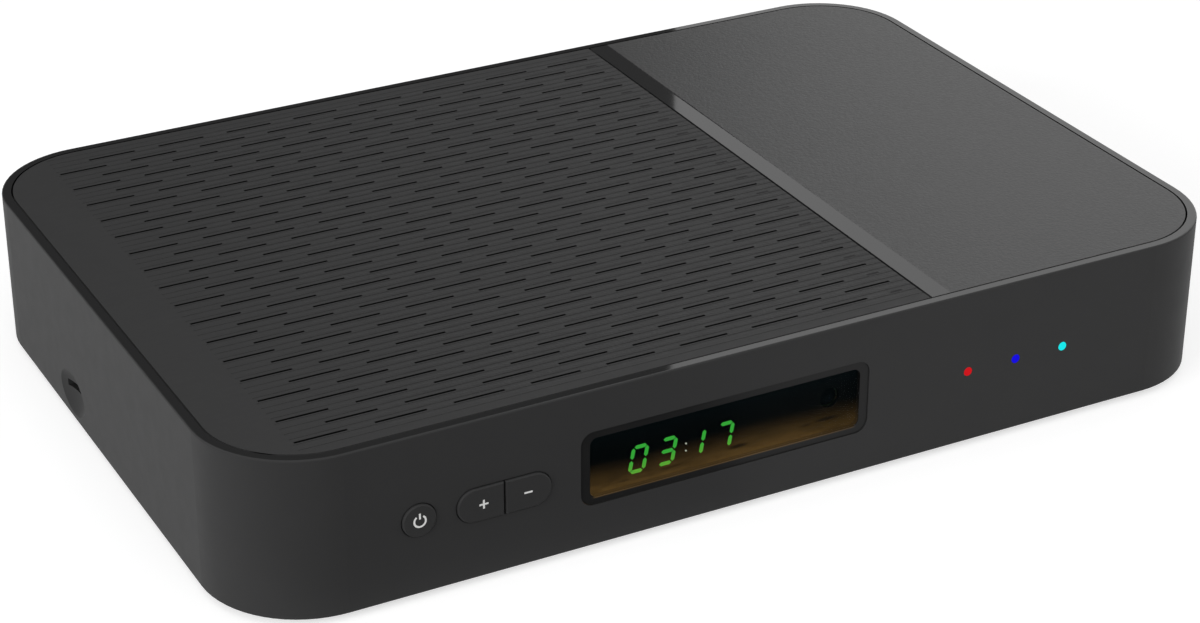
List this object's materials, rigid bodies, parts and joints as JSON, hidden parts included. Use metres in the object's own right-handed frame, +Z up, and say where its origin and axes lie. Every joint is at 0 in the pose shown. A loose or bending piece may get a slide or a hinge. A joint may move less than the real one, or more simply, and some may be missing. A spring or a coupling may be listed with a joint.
{
  "type": "satellite television receiver",
  "caption": "Low rounded box in dark plastic with a ribbed and slotted top, a clock display behind a smoked window, front push buttons, indicator lamps and card slots",
  "frame": {"origin": "on the surface that the feet stand on, under the middle of the overall width and depth", "axes": "+X to the right as seen from the front, +Y to the back, +Z up"},
  "size_m": [0.26, 0.1852, 0.0415],
  "materials": {
    "housing_plastic": "fine satin texture",
    "base_plastic": "fine matt texture",
    "cover_plastic": "satin, ribbed, with a grained panel",
    "button_plastic": "satin",
    "bezel_plastic": "gloss black",
    "smoked_lens": "clear smoked gloss",
    "backing_plastic": "matt dark amber",
    "lit_green": "lit green",
    "lit_white": "lit white",
    "module_plastic": "matt",
    "receiver_plastic": "dark gloss",
    "rubber_black": "matt",
    "switch_plastic": "matt",
    "plunger_plastic": "satin",
    "pipe_red": "clear red",
    "pipe_blue": "clear blue",
    "pipe_cyan": "clear cyan",
    "lamp_plastic": "clear",
    "board_green": "solder mask",
    "chip_black": "matt",
    "sink_aluminium": "anodised",
    "capacitor_can": "sleeved",
    "coil_ferrite": "matt",
    "screw_steel": "zinc plated",
    "tinned_steel": "tin plated",
    "nickel_plate": "nickel plated",
    "insulator_black": "matt",
    "insulator_white": "matt",
    "socket_plastic": "matt",
    "panel_steel": "matt black paint",
    "header_ivory": "matt",
    "ribbon_grey": "satin",
    "reader_plastic": "matt"
  },
  "bodies": {
    "receiver": {"housing_shell": "housing_plastic", "base_plate": "base_plastic", "rubber_feet": "rubber_black", "base_screws": "screw_steel", "top_cover": "cover_plastic", "rear_panel": "panel_steel", "display_bezel": "bezel_plastic", "display_lens": "smoked_lens", "display_backing": "backing_plastic", "display_segments": "lit_green", "display_colon": "lit_white", "display_module": "module_plastic", "infrared_receiver": "receiver_plastic", "switch_bodies": "switch_plastic", "red_light_pipe": "pipe_red", "blue_light_pipe": "pipe_blue", "cyan_light_pipe": "pipe_cyan", "indicator_leds": "lamp_plastic", "front_board": "board_green", "front_board_screws": "screw_steel", "main_board": "board_green", "main_board_screws": "screw_steel", "processor": "chip_black", "heat_sink": "sink_aluminium", "memory_chips": "chip_black", "capacitors": "capacitor_can", "coils": "coil_ferrite", "power_chips": "chip_black", "ribbon_headers": "header_ivory", "ribbon_cable": "ribbon_grey", "tuner_can": "tinned_steel", "aerial_connectors": "nickel_plate", "aerial_washers": "nickel_plate", "aerial_nuts": "nickel_plate", "network_socket": "socket_plastic", "hdmi_socket": "tinned_steel", "hdmi_insulator": "insulator_black", "usb_socket": "tinned_steel", "usb_insulator": "insulator_white", "optical_socket": "socket_plastic", "av_jack": "socket_plastic", "power_inlet": "socket_plastic", "card_socket": "tinned_steel", "smart_card_reader": "reader_plastic"},
    "power_key": {"power_button": "button_plastic"},
    "programme_up_key": {"programme_up_button": "button_plastic"},
    "programme_down_key": {"programme_down_button": "button_plastic"},
    "power_plunger": {"power_plunger": "plunger_plastic"},
    "programme_up_plunger": {"programme_up_plunger": "plunger_plastic"},
    "programme_down_plunger": {"programme_down_plunger": "plunger_plastic"}
  },
  "joints": [
    {"name": "power_key_slide", "type": "slide", "parent": "receiver", "child": "power_key", "axis": [0, 1, 0], "range_m": [0, 0.0004], "stiffness_N_per_m": 800, "springref_m": -0.0005},
    {"name": "programme_up_slide", "type": "slide", "parent": "receiver", "child": "programme_up_key", "axis": [0, 1, 0], "range_m": [0, 0.0004], "stiffness_N_per_m": 800, "springref_m": -0.0005},
    {"name": "programme_down_slide", "type": "slide", "parent": "receiver", "child": "programme_down_key", "axis": [0, 1, 0], "range_m": [0, 0.0004], "stiffness_N_per_m": 800, "springref_m": -0.0005},
    {"name": "power_plunger_slide", "type": "slide", "parent": "receiver", "child": "power_plunger", "axis": [0, 1, 0], "range_m": [0, 0.0004]},
    {"name": "programme_up_plunger_slide", "type": "slide", "parent": "receiver", "child": "programme_up_plunger", "axis": [0, 1, 0], "range_m": [0, 0.0004]},
    {"name": "programme_down_plunger_slide", "type": "slide", "parent": "receiver", "child": "programme_down_plunger", "axis": [0, 1, 0], "range_m": [0, 0.0004]}
  ],
  "couplings": [
    {"joint": "power_plunger_slide", "follows": "power_key_slide", "ratio": 1},
    {"joint": "programme_up_plunger_slide", "follows": "programme_up_slide", "ratio": 1},
    {"joint": "programme_down_plunger_slide", "follows": "programme_down_slide", "ratio": 1}
  ]
}
